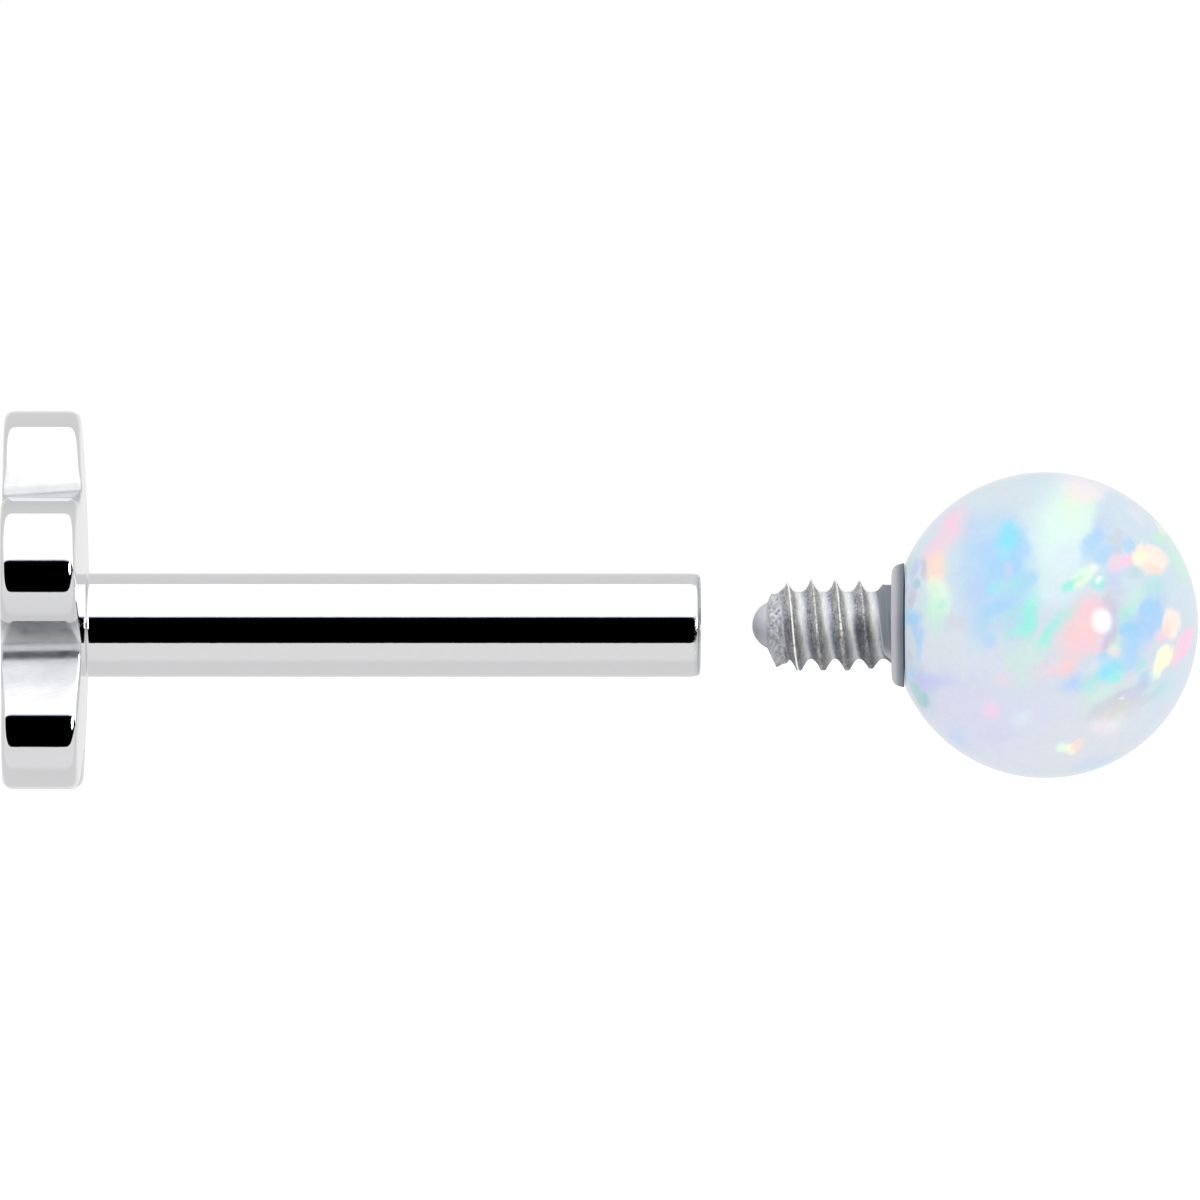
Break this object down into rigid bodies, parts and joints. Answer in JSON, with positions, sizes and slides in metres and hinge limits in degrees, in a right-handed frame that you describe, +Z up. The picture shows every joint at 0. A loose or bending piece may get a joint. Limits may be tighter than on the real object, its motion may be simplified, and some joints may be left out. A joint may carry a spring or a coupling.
{
  "type": "flat back stud",
  "caption": "Polished steel stud with a star-shaped flat back and an internally threaded post, unscrewed from its white opal ball end.",
  "frame": {"origin": "under the middle of the object's length and width, on the surface that it rests on", "axes": "+X along the post, from the flat back to the ball, and +Z up, along one arm of the star"},
  "size_m": [0.0118, 0.0038, 0.0037],
  "materials": {
    "polished_steel": "mirror polished on the rounds, satin on the flats between them",
    "turned_steel": "as turned, with rough crests and a satin collar",
    "white_opal": "polished milky white opal with pastel flakes of colour"
  },
  "bodies": {
    "back": {"star_back_post": "polished_steel"},
    "ball_end": {"threaded_stem": "turned_steel", "opal_ball": "white_opal"}
  },
  "joints": [
    {"name": "ball_end_out", "type": "slide", "parent": "back", "child": "ball_end", "axis": [1, 0, 0], "range_m": [-0.00184, 0.008]}
  ]
}
